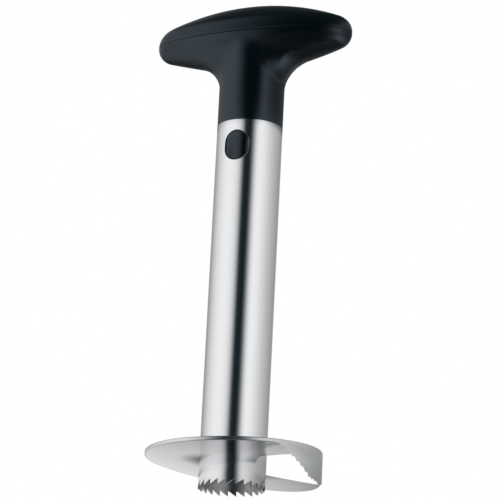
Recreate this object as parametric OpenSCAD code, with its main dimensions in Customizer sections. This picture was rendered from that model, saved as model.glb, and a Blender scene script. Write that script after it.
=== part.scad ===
// Pineapple cutter: a T handle on a toothed core tube with a spiral slicing blade.
// Millimetres. Z runs up the tube, z = 0 is at the tooth tips, X runs along the handle bar,
// and the front release button faces -Y.

/* [Core tube] */
// Outside diameter of the steel tube
tube_od = 32; // [28:0.5:38]
// Wall of the steel tube
tube_wall = 1; // [0.6:0.1:1.5]
// Tooth tips to the top rim of the tube
tube_length = 180; // [150:1:210]
// Saw teeth around the lower end
tooth_count = 24; // [16:1:32]
// Depth of a saw tooth
tooth_depth = 2.6; // [1.5:0.1:4]
// Width of a tooth tip at the bore
tooth_tip = 0.12; // [0.1:0.01:0.3]

/* [Slicing blade] */
// Diameter over the rim of the blade
blade_d = 84; // [74:1:96]
// Thickness of the blade sheet
sheet = 1; // [0.6:0.1:1.5]
// Underside of the leading corner above the tooth tips
lead_height = 4.9; // [4:0.1:7]
// Rise from the leading corner to the level part
blade_rise = 10; // [7:0.1:13]
// Turn from the leading edge to the level part, at the rim
rise_turn = 150; // [120:1:180]
// Extra rise of the rim over the tail
tail_rise = 2.6; // [0:0.1:4]
// Turn from the leading edge to the start of the tail
tail_start = 240; // [210:1:270]
// How far the level part dips from the rim to the tube
hub_dip = 0.5; // [0:0.1:1]
// Share of the tail's rise that reaches the tube
hub_share = 0.8; // [0.5:0.05:1]
// How far the leading edge droops from the tube to the rim
lead_droop = 2.9; // [0:0.1:4]
// Direction of the leading edge around the tube
lead_angle = 26; // [0:1:90]
// Open angle between the trailing edge and the leading edge
mouth_angle = 22; // [15:1:30]
// Length of the ground bevel on the leading edge, as an angle at the tube
bevel_angle = 8; // [4:1:12]

/* [Peeling rim] */
// Thickness of the rim strip
rim_wall = 1; // [0.6:0.1:1.5]
// Height of the plain rim lip
lip_height = 1.85; // [1.4:0.05:3]
// Turn from the leading edge to the start of the peeling wall
peel_start = 296; // [270:1:304]
// Turn taken by the sloping saw edge
peel_slope = 31; // [20:1:40]
// Lowest edge of the peeling wall above the tooth tips
peel_low = 2.9; // [1.5:0.1:3.5]
// How far the wall stands out from the lip at its end
peel_flare = 0.5; // [0:0.1:1]
// Turn taken by the rounded lower corner at the wall's end
corner_turn = 14; // [6:1:18]
// Height of that rounded corner
corner_lift = 1.8; // [0:0.1:3]
// Gap between the wall's end and the start of the lip, as an angle
peel_gap = 2; // [1:0.5:5]
// Length of one scallop along the edge
scallop_pitch = 3.1; // [2:0.1:4]
// Depth of one scallop
scallop_depth = 1.2; // [0.3:0.1:1.5]

/* [Handle] */
// Length of the handle bar
bar_length = 102.6; // [86:0.2:120]
// Width of the bar at its middle
bar_width = 33; // [32.8:0.1:38]
// Fullness of the bar's ovals seen from above: 2 is an ellipse, more is blunter
bar_plan = 2.1; // [1.6:0.05:2.4]
// Parting line above the top rim of the tube
part_height = 46; // [40:0.5:56]
// Slope of the underside of the arms
arm_slope = 13.5; // [8:0.5:18]
// Run of the fillet from the neck into the arms
side_run = 13; // [9:0.5:15]
// Run of that fillet at the front and the back
front_run = 4; // [2:0.5:6]
// Rounding below the parting line at the ends
arm_end_r = 7.7; // [7:0.1:11]
// Rounding above the parting line at the ends
cap_end_r = 8.5; // [6:0.5:10]
// Slope of the cap where its arch meets the end rounding
cap_slope = 22; // [16:1:26]
// Wall of the shell and the cap
handle_wall = 2.2; // [1.8:0.1:2.6]
// Small chamfer on each side of the parting line
part_chamfer = 0.4; // [0.2:0.1:0.6]
// Distance of each cap post from the tube axis
post_x = 30; // [26:1:32]
// Radius of a cap post
post_r = 2.5; // [2:0.1:3]
// Length of a cap post below the parting line
post_drop = 8; // [6:0.5:9]
// Wall round a cap post's socket and round a screw's bore in the plug
boss_wall = 1.6; // [1.2:0.1:2]

/* [Plug] */
// How far the plug reaches into the neck
neck_depth = 15; // [12:0.5:16]
// How far the plug reaches into the tube
plug_depth = 48; // [44:1:60]
// Solid web of the neck above the plug
web = 3; // [2.4:0.1:3.6]
// Solid roof of the plug that the screws pull against the web
plug_roof = 3; // [2.4:0.1:3.6]
// Solid foot of the plug below the latch channels
foot = 9; // [8:0.5:11]
// Radius of the hollow inside the plug
plug_hollow_r = 9.5; // [9:0.1:10]
// Radius of the well above the web
well_r = 12; // [11:0.1:12.5]
// Distance of each screw from the tube axis
screw_x = 8; // [7:0.1:8.5]
// Radius of a screw shank
screw_r = 1.5; // [1.2:0.1:1.8]
// Length of a screw below its head
screw_length = 13; // [10:0.5:14]
// Radius of a screw head
head_r = 2.8; // [2.4:0.1:3.2]
// Height of a screw head
head_h = 2; // [1.6:0.1:2.4]
// Width of one slot of the screw head's cross
cross_w = 0.7; // [0.5:0.05:1]
// Depth of the cross
cross_depth = 1; // [0.6:0.1:1.2]

/* [Latches] */
// Width of a release button
button_w = 11.6; // [10:0.1:12.4]
// Height of a release button
button_h = 14.2; // [12.5:0.1:16]
// Button centre below the top rim of the tube
button_drop = 13; // [11:0.5:15]
// Pivot bead above the bottom of the plug
pivot_rise = 6.5; // [5.5:0.1:7]
// Pivot bead inside the plug's outside radius
pivot_inset = 3.1; // [3:0.05:3.4]
// Radius of the pivot bead
bead_r = 1.6; // [1.4:0.05:1.8]
// Thickness of a latch tongue
tongue = 1.8; // [1.5:0.1:2]
// Height of a tongue above its button
tongue_over = 1.4; // [1:0.1:1.6]

/* [Fits] */
// Radial gap between the plug and the tube
plug_gap = 0.3; // [0.3:0.05:0.5]
// Radial gap between the plug and the neck
neck_gap = 0.1; // [0.05:0.05:0.2]
// Gap around a button in its hole
button_gap = 0.5; // [0.4:0.05:0.6]
// Radial gap around a pivot bead
bead_gap = 0.05; // [0.02:0.01:0.08]
// Gap at each side of a tongue in its channel
channel_gap = 0.3; // [0.3:0.05:0.5]
// Radial gap around a screw in the web and around a cap post
hole_gap = 0.1; // [0.1:0.05:0.2]
// Gap above a tongue in its channel and below a cap post in its socket
end_gap = 0.5; // [0.5:0.1:1]
// Gap on the outer side of a tongue in the throat above its bead
throat_gap = 0.15; // [0.1:0.05:0.2]
// Gap on the inner side, which lets the tongue swing
swing_gap = 0.45; // [0.4:0.05:0.6]

/* [Hidden] */
$fn = 96;
over = 1;
eps = 0.01;
ring_n = 60;
arc_n = 8;
bend_n = 8;
curve_n = 10;
hollow_n = 6;
crown_n = 12;
crown_flat = 0.15;
fillet_share = 0.6;
fillet_pull = 0.58;
socket_share = 0.7;
crown_power = 0.9;
tube_r = tube_od / 2;
bore_r = tube_r - tube_wall;
plug_r = bore_r - plug_gap;
plug_bottom = tube_length - plug_depth;
plug_top = tube_length + neck_depth;
web_top = plug_top + web;
foot_top = plug_bottom + foot;
part_z = tube_length + part_height;
bar_a = bar_length / 2;
bar_b = bar_width / 2;
button_z = tube_length - button_drop;
pivot_y = plug_r - pivot_inset;
pivot_z = plug_bottom + pivot_rise;
tongue_top = button_z + button_h / 2 + tongue_over;
channel_top = tongue_top + 2 * end_gap;
tooth_w = 2 * bore_r * sin(180 / tooth_count) - tooth_tip;
blade_r = blade_d / 2;
disc_r = blade_r - rim_wall;
disc_end = 360 - mouth_angle;
rim_end = 360 - peel_gap;
lead_in = lead_height + lead_droop;
level_in = lead_height + blade_rise - hub_dip;
bevel_min = sheet / 4;
cross_share = 0.6;
lead_flat = 3;
hub_turn = rise_turn + 45;
scallop_fade = 4;

// Smooth step from 0 at a to 1 at b
function ease(x, a, b) = let (t = max(0, min(1, (x - a) / (b - a)))) t * t * (3 - 2 * t);

// Underside of the blade at the rim and at the tube, for a turn p past the leading edge
function rim_under(p) = lead_height + blade_rise * ease(p, lead_flat, rise_turn)
    + tail_rise * ease(p, tail_start, rim_end);
function hub_under(p) = lead_in + (level_in - lead_in) * ease(p, lead_flat, hub_turn)
    + tail_rise * hub_share * ease(p, tail_start, rim_end);

// Thickness of the sheet, thinned by the bevel at the leading edge
function blade_t(p) = bevel_min + (sheet - bevel_min) * min(1, p / bevel_angle);

// Lower edge of the rim strip: the lip, then the sloping saw edge, the low edge and its rounded corner
function peel_line(p) = rim_under(p)
    + (peel_low - rim_under(p)) * min(1, (p - peel_start) / peel_slope)
    + corner_lift * ease(p, rim_end - corner_turn, rim_end);
function scallop(p) = scallop_depth * min(1, (p - peel_start) / scallop_fade)
    * (1 - ease(p, peel_start + peel_slope, rim_end - corner_turn))
    * abs(sin((p - peel_start) * PI * blade_r / scallop_pitch));
function rim_low(p) = p <= peel_start ? rim_under(p) : min(rim_under(p), peel_line(p) + scallop(p));

// How far the strip and the disc's edge stand out beyond the plain lip
function flare(p) = peel_flare * ease(p, peel_start, rim_end);

// Turns at which the blade and the rim strip are cut into short straight pieces
turn_step = 2;
turns = concat([for (p = [0 : turn_step : peel_start - 1]) p],
    [for (p = [peel_start : turn_step / 4 : rim_end]) p]);
hub_r = tube_r / cos(turn_step / 2);
disc_turns = [for (p = turns) if (p <= disc_end) p];

// Point at radius r, turn p and height z
function at(r, p, z) = [r * cos(p), r * sin(p), z];

// Solid strip through a list of four-cornered sections
module strip(sections) {
    n = len(sections);
    sides = [for (i = [0 : n - 2]) for (j = [0 : 3])
        let (k = (j + 1) % 4) each [
            [4 * i + j, 4 * i + k, 4 * i + 4 + k],
            [4 * i + j, 4 * i + 4 + k, 4 * i + 4 + j]]];
    last = 4 * (n - 1);
    ends = [[0, 2, 1], [0, 3, 2], [last, last + 1, last + 2], [last, last + 2, last + 3]];
    polyhedron([for (s = sections) each s], concat(sides, ends), convexity = 10);
}

// Solid through rings of points, each ring with ring_n of them
module loft(rings) {
    n = len(rings);
    sides = [for (k = [0 : n - 2]) for (i = [0 : ring_n - 1])
        let (j = (i + 1) % ring_n, a = k * ring_n, b = a + ring_n) each [
            [a + i, b + j, a + j],
            [a + i, b + i, b + j]]];
    low = [[for (i = [0 : ring_n - 1]) i]];
    top = [[for (i = [ring_n - 1 : -1 : 0]) (n - 1) * ring_n + i]];
    polyhedron([for (r = rings) each r], concat(sides, low, top), convexity = 10);
}

// Directions of a ring's points. They crowd towards the long axis as b falls below a
function ring_dirs(a, b) = [for (i = [0 : ring_n - 1])
    atan2(b * sin(360 * i / ring_n), a * cos(360 * i / ring_n))];

// Distance from the axis to an oval in direction f, and that oval as a level ring
function reach(f, a, b) = pow(pow(abs(cos(f)) / a, bar_plan) + pow(abs(sin(f)) / b, bar_plan), -1 / bar_plan);
function oval(a, b, z) = [for (f = ring_dirs(a, b)) at(reach(f, a, b), f, z)];

// Hull of the bar below the parting line, set in by a wall for its hollow: half width, depth along the
// middle line, and height in direction f at the distance r from the axis
seam_z = part_z - part_chamfer;
function half_width(x, a, b) = max(eps, b * pow(1 - pow(min(1, abs(x) / a), bar_plan), 1 / bar_plan));
function depth(x, a, r) = let (out = a - r * (1 - sin(arm_slope)))
    abs(x) < out ? r * cos(arm_slope) + (out - abs(x)) * tan(arm_slope)
        : sqrt(max(0, r * r - pow(abs(x) - a + r, 2)));
function under(f, r, inset = 0) = let (x = r * cos(f), y = r * sin(f), a = bar_a - inset, b = bar_b - inset)
    seam_z - depth(x, a, arm_end_r - inset) * sqrt(max(0, 1 - pow(y / half_width(x, a, b), 2)));
function slope(f, r) = atan2(under(f, r + eps) - under(f, r - eps), 2 * eps);

// Fillet from the neck into the hull: its run along the neck, its end on the hull, and its curve
function fillet_run(f) = front_run + (side_run - front_run) * pow(cos(f), 2);
function fillet_end(f) = tube_r + min(fillet_run(f) * cos(slope(f, tube_r)),
    fillet_share * (reach(f, bar_a, bar_b) - tube_r));
function fillet(f, t) = let (run = fillet_run(f), end = fillet_end(f), lean = slope(f, end),
        foot_z = under(f, tube_r) - run, end_z = under(f, end),
        pull = fillet_pull * norm([end - tube_r, end_z - under(f, tube_r)]),
        u = 1 - t, w = [u * u * u, 3 * u * u * t, 3 * u * t * t, t * t * t])
    at(w * [tube_r, tube_r, end - pull * cos(lean), end], f,
        w * [foot_z, foot_z + fillet_pull * run, end_z - pull * sin(lean), end_z]);

// Ring of the hull at share t of the way from a start distance to the parting line
function hull_point(f, start, t, inset) = let (
        out = reach(f, bar_a - inset, bar_b - inset), from = asin(start / out),
        r = out * sin(from + (90 - from) * t))
    at(r, f, t < 1 ? under(f, r, inset) : seam_z);
function ring_share(k) = 1 + k / (bend_n + curve_n) * (bar_b / bar_a - 1);
hull_rings = concat([[for (f = ring_dirs(1, 1)) at(tube_r, f, tube_length)]],
    [for (k = [0 : bend_n]) [for (f = ring_dirs(1, ring_share(k))) fillet(f, k / bend_n)]],
    [for (k = [1 : curve_n]) [for (f = ring_dirs(1, ring_share(bend_n + k)))
        hull_point(f, fillet_end(f), k / curve_n, 0)]],
    [oval(bar_a - part_chamfer, bar_b - part_chamfer, part_z)]);

// Hollow of the lower shell, one wall inside the hull
in_a = bar_a - handle_wall;
in_b = bar_b - handle_wall;
in_low = well_r + over;
in_low_z = under(0, in_low, handle_wall) - over / 2;
hollow_rings = concat([[for (f = ring_dirs(1, 1)) at(in_low, f, in_low_z)]],
    [for (k = [0 : hollow_n]) [for (f = ring_dirs(1, 1 + k / hollow_n * (in_b / in_a - 1)))
        hull_point(f, in_low, k / hollow_n, handle_wall)]],
    [oval(in_a, in_b, part_z + over)]);

// Outer end of the slope along the middle of an arm's underside
slope_out = bar_a - arm_end_r * (1 - sin(arm_slope));
slope_out_z = seam_z - arm_end_r * cos(arm_slope);

// Arch of the cap, from the parting line up
arch_a = bar_a - cap_end_r * (1 - sin(cap_slope));
arch_z = part_z + cap_end_r * cos(cap_slope);
arch_r = arch_a / sin(cap_slope);
cap_top = arch_z + arch_r * (1 - cos(cap_slope));
cap_arc = 90 - cap_slope;
cap_line = concat(
    [for (i = [1 : arc_n]) let (f = cap_arc * i / arc_n)
        [bar_a - cap_end_r * (1 - cos(f)), part_z + cap_end_r * sin(f)]],
    [for (i = [crown_n - 1 : -1 : 0]) let (f = cap_slope * (i + crown_flat) / crown_n)
        [arch_r * sin(f), cap_top - arch_r * (1 - cos(f))]]);
function cap_b(a) = bar_b * pow(a / bar_a, crown_power);
cap_rings = concat(
    [oval(bar_a - part_chamfer, bar_b - part_chamfer, part_z), oval(bar_a, bar_b, part_z + part_chamfer)],
    [for (c = cap_line) oval(c[0], cap_b(c[0]), c[1])]);
cap_scale = in_a / bar_a;
cap_hollow_h = cap_top - handle_wall - part_z;
cap_hollow = concat([oval(in_a, in_b, part_z - over)],
    [for (c = cap_line) oval(c[0] * cap_scale, cap_b(c[0]) * in_b / bar_b,
        part_z + (c[1] - part_z) * cap_hollow_h / (cap_top - part_z))]);

// Top of a cap post, inside the thickness of the roof
post_reach = post_x + post_r + over;
post_roof = cap_top - arch_r + sqrt(arch_r * arch_r - post_reach * post_reach) - handle_wall / 3;

// Upright stadium in X and Z, from depth y0 to y1 on the front side
module stadium(w, h, y0, y1) {
    translate([0, -y0, 0]) rotate([90, 0, 0]) linear_extrude(y1 - y0) union() {
        square([w, h - w], center = true);
        translate([0, (h - w) / 2]) circle(d = w);
        translate([0, -(h - w) / 2]) circle(d = w);
    }
}

module core_tube() {
    color([0.78, 0.79, 0.8]) difference() {
        cylinder(h = tube_length, r = tube_r);
        translate([0, 0, -over]) cylinder(h = tube_length + 2 * over, r = bore_r);
        for (i = [0 : tooth_count - 1])
            rotate([0, 0, 360 * (i + 0.5) / tooth_count]) translate([bore_r - 2 * over, 0, 0])
                rotate([90, 0, 90]) linear_extrude(tube_wall + 4 * over)
                    polygon([[-tooth_w / 2, -over], [-tooth_w / 2, 0], [tooth_w / 2, tooth_depth],
                        [tooth_w / 2, -over]]);
        translate([0, 0, button_z])
            stadium(button_w + 2 * button_gap, button_h + 2 * button_gap, -tube_r - over, tube_r + over);
    }
}

module slicing_blade() {
    color([0.74, 0.75, 0.76]) rotate([0, 0, lead_angle])
        strip([for (p = disc_turns) [
            at(hub_r, p, hub_under(p)),
            at(disc_r + flare(p), p, rim_under(p)),
            at(disc_r + flare(p), p, rim_under(p) + blade_t(p)),
            at(hub_r, p, hub_under(p) + blade_t(p))]]);
}

module rim_blade() {
    color([0.8, 0.81, 0.82]) rotate([0, 0, lead_angle])
        strip([for (p = turns) [
            at(disc_r + flare(p), p, rim_low(p)),
            at(blade_r + flare(p), p, rim_low(p)),
            at(blade_r + flare(p), p, rim_under(p) + lip_height),
            at(disc_r + flare(p), p, rim_under(p) + lip_height)]]);
}

// Socket for a cap post, cut off along the slope of the arm
module post_socket() {
    difference() {
        translate([post_x, 0, slope_out_z - bar_b / 2])
            cylinder(h = part_z - handle_wall - slope_out_z + bar_b / 2, r = post_r + hole_gap + boss_wall);
        translate([slope_out, 0, slope_out_z + socket_share * handle_wall]) rotate([0, -arm_slope, 0])
            translate([-2 * bar_a, -bar_b, -bar_b]) cube([3 * bar_a, 2 * bar_b, bar_b]);
    }
}

module handle_shell() {
    color([0.1, 0.1, 0.11]) difference() {
        union() {
            difference() {
                loft(hull_rings);
                loft(hollow_rings);
            }
            for (s = [0, 1]) mirror([s, 0, 0]) post_socket();
        }
        translate([0, 0, tube_length - over]) cylinder(h = neck_depth + over, r = plug_r + neck_gap);
        translate([0, 0, web_top]) cylinder(h = part_z - web_top, r = well_r);
        for (s = [-1, 1]) {
            translate([s * post_x, 0, part_z - post_drop - end_gap])
                cylinder(h = post_drop + end_gap + over, r = post_r + hole_gap);
            translate([s * screw_x, 0, plug_top - over]) cylinder(h = web + 2 * over, r = screw_r + hole_gap);
        }
    }
}

module handle_cap() {
    color([0.12, 0.12, 0.13]) union() {
        difference() {
            loft(cap_rings);
            loft(cap_hollow);
        }
        for (s = [-1, 1]) translate([s * post_x, 0, part_z - post_drop])
            cylinder(h = post_roof - part_z + post_drop, r = post_r);
    }
}

module latch_plug() {
    color([0.16, 0.16, 0.17]) difference() {
        union() {
            difference() {
                translate([0, 0, plug_bottom]) cylinder(h = plug_top - plug_bottom, r = plug_r);
                translate([0, 0, foot_top]) cylinder(h = plug_top - plug_roof - foot_top, r = plug_hollow_r);
            }
            for (s = [-1, 1]) translate([s * screw_x, 0, plug_top - screw_length])
                cylinder(h = screw_length - over, r = screw_r + boss_wall);
        }
        for (s = [-1, 1]) {
            translate([s * screw_x, 0, plug_top - screw_length + web]) cylinder(h = screw_length, r = screw_r);
            mirror([0, s > 0 ? 1 : 0, 0]) latch_channel();
        }
    }
}

// Channel, throat and round socket that one latch tongue sits in, on the front side
module latch_channel() {
    w = button_w + 2 * channel_gap;
    translate([-w / 2, -tube_r, foot_top]) cube([w, tube_r - plug_hollow_r / 2, channel_top - foot_top]);
    translate([-w / 2, -pivot_y, pivot_z]) rotate([0, 90, 0]) cylinder(h = w, r = bead_r + bead_gap);
    translate([-w / 2, -pivot_y - tongue / 2 - throat_gap, pivot_z])
        cube([w, tongue + throat_gap + swing_gap, foot_top - pivot_z + over]);
}

module plug_screws() {
    color([0.6, 0.6, 0.62]) for (s = [-1, 1]) translate([s * screw_x, 0, web_top]) difference() {
        union() {
            translate([0, 0, -screw_length]) cylinder(h = screw_length + head_h / 2, r = screw_r);
            cylinder(h = head_h, r = head_r);
        }
        for (a = [0, 90]) rotate([0, 0, a])
            translate([-head_r * cross_share, -cross_w / 2, head_h - cross_depth])
                cube([2 * head_r * cross_share, cross_w, cross_depth + over]);
    }
}

module latch() {
    translate([-button_w / 2, -pivot_y, pivot_z]) rotate([0, 90, 0]) cylinder(h = button_w, r = bead_r);
    translate([-button_w / 2, -pivot_y - tongue / 2, pivot_z]) cube([button_w, tongue, tongue_top - pivot_z]);
    intersection() {
        translate([0, 0, button_z]) stadium(button_w, button_h, pivot_y, tube_r + over);
        translate([0, 0, plug_bottom]) cylinder(h = plug_depth, r = tube_r);
    }
}

module front_latch() {
    color([0.06, 0.06, 0.07]) latch();
}

module rear_latch() {
    color([0.06, 0.06, 0.07]) rotate([0, 0, 180]) latch();
}

core_tube();
slicing_blade();
rim_blade();
handle_shell();
handle_cap();
latch_plug();
plug_screws();
front_latch();
rear_latch();
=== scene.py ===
# %% [markdown]
# # A pineapple cutter, dressed for its portrait
# The cutter is a steel core tube with saw teeth, a spiral slicing blade with a peeling rim
# near the tube's foot, and a black T handle on top. The solids come packed in metres, with
# z = 0 at the tooth tips, X along the handle bar and the front button towards -Y.
# We load them as a fixed frame and then make finer skins that sit exactly where they are.

# %% Load the frame
from math import asin, atan2, cos, degrees, hypot, pi, radians, sin, sqrt, tan

import bmesh
import bpy
from mathutils import Matrix, Vector


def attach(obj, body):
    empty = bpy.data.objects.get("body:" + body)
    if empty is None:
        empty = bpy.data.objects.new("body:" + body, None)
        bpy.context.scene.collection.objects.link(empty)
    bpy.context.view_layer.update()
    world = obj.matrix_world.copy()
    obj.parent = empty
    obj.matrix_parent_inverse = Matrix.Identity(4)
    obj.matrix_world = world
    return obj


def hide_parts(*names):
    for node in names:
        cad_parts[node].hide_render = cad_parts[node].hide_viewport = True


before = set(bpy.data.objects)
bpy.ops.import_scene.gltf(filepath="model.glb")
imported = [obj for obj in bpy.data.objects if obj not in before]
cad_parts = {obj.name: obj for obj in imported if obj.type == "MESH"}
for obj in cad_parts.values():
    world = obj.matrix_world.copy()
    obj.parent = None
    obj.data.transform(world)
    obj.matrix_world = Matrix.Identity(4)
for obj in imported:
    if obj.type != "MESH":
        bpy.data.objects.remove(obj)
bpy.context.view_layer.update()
scene = bpy.context.scene
scene.view_settings.view_transform = "Standard"
MM = 0.001

# %% [markdown]
# ## The camera
# The picture is taken from below and a little to the right with a long lens, so the tube's
# sides run almost parallel. The camera could be aimed at the object with a constraint. Here
# its three axes are written out instead, because it also leans about three degrees to one side.

# %% Place the camera
camera_turn = radians(24)
camera_back, camera_down = 1.36237, 0.27481
aim_yaw, aim_pitch, camera_roll = radians(0.127), radians(16.104), radians(2.918)
focal_pixels, picture_pixels, sensor_mm = 2930.7, 500, 36

around = Matrix.Rotation(camera_turn, 3, "Z")
sight = around @ Vector((sin(aim_yaw) * cos(aim_pitch), cos(aim_yaw) * cos(aim_pitch), sin(aim_pitch)))
level_right = sight.cross(Vector((0, 0, 1))).normalized()
level_up = level_right.cross(sight)
right = cos(camera_roll) * level_right + sin(camera_roll) * level_up
up = cos(camera_roll) * level_up - sin(camera_roll) * level_right

camera_data = bpy.data.cameras.new("camera")
camera_data.sensor_width = sensor_mm
camera_data.lens = focal_pixels / picture_pixels * sensor_mm
camera = bpy.data.objects.new("camera", camera_data)
scene.collection.objects.link(camera)
stand = around @ Vector((0, -camera_back, -camera_down))
axes = Matrix((right, up, -sight)).transposed().to_4x4()
camera.matrix_world = Matrix.Translation(stand) @ axes
scene.camera = camera
print("camera at", [round(v, 3) for v in stand], "lens", round(camera_data.lens, 1), "mm")

# %% [markdown]
# ## A finish from nodes
# Every finish here starts from one shader and a fine pattern. A pattern can come from a picture,
# but a procedural one has no seams and no fixed size. The pattern reads Object coordinates, in
# metres, and it drives two things: a shallow bump and a small change of roughness.

# %% Helpers for finishes
def add(tree, kind, inputs=(), **settings):
    """Add a shader node, with its settings and the values of some of its inputs."""
    node = tree.nodes.new("ShaderNode" + kind)
    for key, value in settings.items():
        setattr(node, key, value)
    for key, value in dict(inputs).items():
        node.inputs[key].default_value = value
    return node


def new_finish(name, colour, metallic, roughness):
    """A material, its node tree and its one shader."""
    finish = bpy.data.materials.new(name)
    finish.use_nodes = True
    tree = finish.node_tree
    shader = tree.nodes["Principled BSDF"]
    shader.inputs["Base Color"].default_value = (*colour, 1)
    shader.inputs["Metallic"].default_value = metallic
    shader.inputs["Roughness"].default_value = roughness
    return finish, tree, shader


def drive(tree, shader, pattern, rough_low, rough_high, depth, strength):
    """Let one grey pattern set the roughness range and a bump of the given depth in metres."""
    link = tree.links.new
    spread = add(tree, "MapRange", {"To Min": rough_low, "To Max": rough_high})
    bump = add(tree, "Bump", {"Strength": strength, "Distance": depth})
    link(pattern, spread.inputs["Value"])
    link(spread.outputs["Result"], shader.inputs["Roughness"])
    link(pattern, bump.inputs["Height"])
    link(bump.outputs["Normal"], shader.inputs["Normal"])

# %% [markdown]
# ## Brushed steel for the tube
# Brushing leaves fine scratches, and they do two things: they show as faint lines, and they smear
# every reflection across themselves. The lines could be cut as a bump alone, but at this distance the
# smear matters more. So a noise that is stretched along the scratches makes the lines, and the shader's
# Anisotropic value makes the smear, with a Tangent that points across them. The tube is brushed
# lengthwise, so its tangent goes round it.

# %% Make the tube's steel
scratch_depth = 0.02 * MM
scratches = (2800, 2800, 35)  # per metre, across the tube and along it


def brushed_lengthwise(name, colour, rough_low, rough_high, smear):
    finish, tree, shader = new_finish(name, colour, 1, rough_low)
    link = tree.links.new
    shader.inputs["Anisotropic"].default_value = smear
    place = add(tree, "TexCoord").outputs["Object"]
    way_round = add(tree, "VectorMath", {0: (0, 0, 1)}, operation="CROSS_PRODUCT")
    squeeze = add(tree, "Mapping", {"Scale": scratches})
    lines = add(tree, "TexNoise", {"Scale": 1, "Detail": 3, "Roughness": 0.6})
    link(place, way_round.inputs[1])
    link(way_round.outputs["Vector"], shader.inputs["Tangent"])
    link(place, squeeze.inputs["Vector"])
    link(squeeze.outputs["Vector"], lines.inputs["Vector"])
    drive(tree, shader, lines.outputs["Fac"], rough_low, rough_high, scratch_depth, 0.08)
    return finish


tube_steel = brushed_lengthwise("brushed_tube_steel", (0.775, 0.779, 0.788), 0.1, 0.15, 0.5)
screw_steel = brushed_lengthwise("plated_screw_steel", (0.58, 0.58, 0.6), 0.28, 0.4, 0.0)
print("made", tube_steel.name, "and", screw_steel.name)

# %% [markdown]
# ## Steel that is brushed round the axis
# The blade, its rim and the bore of the tube were finished while they turned, so their scratches are
# rings. The distance from the axis and the height above the tips give each ring its own place in a flat
# noise. The direction across a ring is the cross product of the way round and the surface's normal,
# which works on the level disc and on the upright walls alike.

# %% Make the turned steels
ring_density = 2200  # per metre


def brushed_round(name, colour, rough_low, rough_high, smear):
    finish, tree, shader = new_finish(name, colour, 1, rough_low)
    link = tree.links.new
    shader.inputs["Anisotropic"].default_value = smear
    place = add(tree, "TexCoord").outputs["Object"]
    normal = add(tree, "NewGeometry").outputs["Normal"]
    way_round = add(tree, "VectorMath", {0: (0, 0, 1)}, operation="CROSS_PRODUCT")
    across = add(tree, "VectorMath", operation="CROSS_PRODUCT")
    link(place, way_round.inputs[1])
    link(way_round.outputs["Vector"], across.inputs[0])
    link(normal, across.inputs[1])
    link(across.outputs["Vector"], shader.inputs["Tangent"])

    from_axis = add(tree, "VectorMath", operation="LENGTH")
    split = add(tree, "SeparateXYZ")
    ring = add(tree, "CombineXYZ")
    rings = add(tree, "TexNoise", {"Scale": ring_density, "Detail": 3}, noise_dimensions="2D")
    link(way_round.outputs["Vector"], from_axis.inputs[0])
    link(place, split.inputs["Vector"])
    link(from_axis.outputs["Value"], ring.inputs["X"])
    link(split.outputs["Z"], ring.inputs["Y"])
    link(ring.outputs["Vector"], rings.inputs["Vector"])
    drive(tree, shader, rings.outputs["Fac"], rough_low, rough_high, scratch_depth, 0.02)
    return finish


blade_steel = brushed_round("brushed_blade_steel", (0.8, 0.804, 0.815), 0.09, 0.13, 0.8)
rim_steel = brushed_round("brushed_rim_steel", (0.755, 0.759, 0.77), 0.24, 0.32, 0.5)
# The bore's steel is rougher from reaming, and its lighter colour is painted light for the dim inside.
lightened_bore_steel = brushed_round("reamed_bore_steel_painted_light", (0.93, 0.935, 0.945), 0.5, 0.56, 1.0)
print("made", blade_steel.name, rim_steel.name, lightened_bore_steel.name)

# %% [markdown]
# ## Painted shade beside the tube
# The blade's colour is darkened round two points, one on each side of the tube as the camera sees it. This
# is painted shade for the dark reflection that lies beside the tube. It fades outwards, and the distance
# to the nearer point is enough to describe it.

# %% Paint shade on the blade beside the tube
COLOUR_A, COLOUR_B, COLOUR_OUT = 6, 7, 2  # where a Mix node keeps its colour sockets


def paint_shade_round(finish, spots, near, far, darkest):
    """Darken the colour of a finish round two points as painted shade, from a near to a far distance."""
    tree = finish.node_tree
    link = tree.links.new
    shader = tree.nodes["Principled BSDF"]
    plain = shader.inputs["Base Color"].default_value
    place = add(tree, "TexCoord").outputs["Object"]
    nearer = add(tree, "Math", operation="MINIMUM")
    for spot, socket in zip(spots, nearer.inputs):
        away = add(tree, "VectorMath", {1: spot}, operation="DISTANCE")
        link(place, away.inputs[0])
        link(away.outputs["Value"], socket)
    fade = add(tree, "MapRange", {"From Min": near, "From Max": far, "To Min": darkest, "To Max": 1})
    tint = add(tree, "Mix", {COLOUR_A: (0, 0, 0, 1), COLOUR_B: plain}, data_type="RGBA")
    link(nearer.outputs["Value"], fade.inputs["Value"])
    link(fade.outputs["Result"], tint.inputs["Factor"])
    link(tint.outputs[COLOUR_OUT], shader.inputs["Base Color"])


# Painted shade: its two centres stand either side of the tube, along the camera's level right.
shade_offset, shade_height = 13 * MM, 15 * MM
shade_centres = [side * shade_offset * level_right + Vector((0, 0, shade_height)) for side in (1, -1)]
paint_shade_round(blade_steel, shade_centres, 3.5 * MM, 13 * MM, 0.1)
print("painted shade centred at", [[round(v / MM, 1) for v in weld] for weld in shade_centres], "mm")

# %% [markdown]
# ## Moulded black plastic
# The handle is a satin moulding. The mould is spark eroded, which leaves a grain of about a third
# of a millimetre, and hands polish it unevenly. A fine noise makes the grain and a broad one makes
# the uneven sheen. The colour is almost black, because the light in it is all reflection.

# %% Make the plastics
grain_depth = 0.03 * MM


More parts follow.
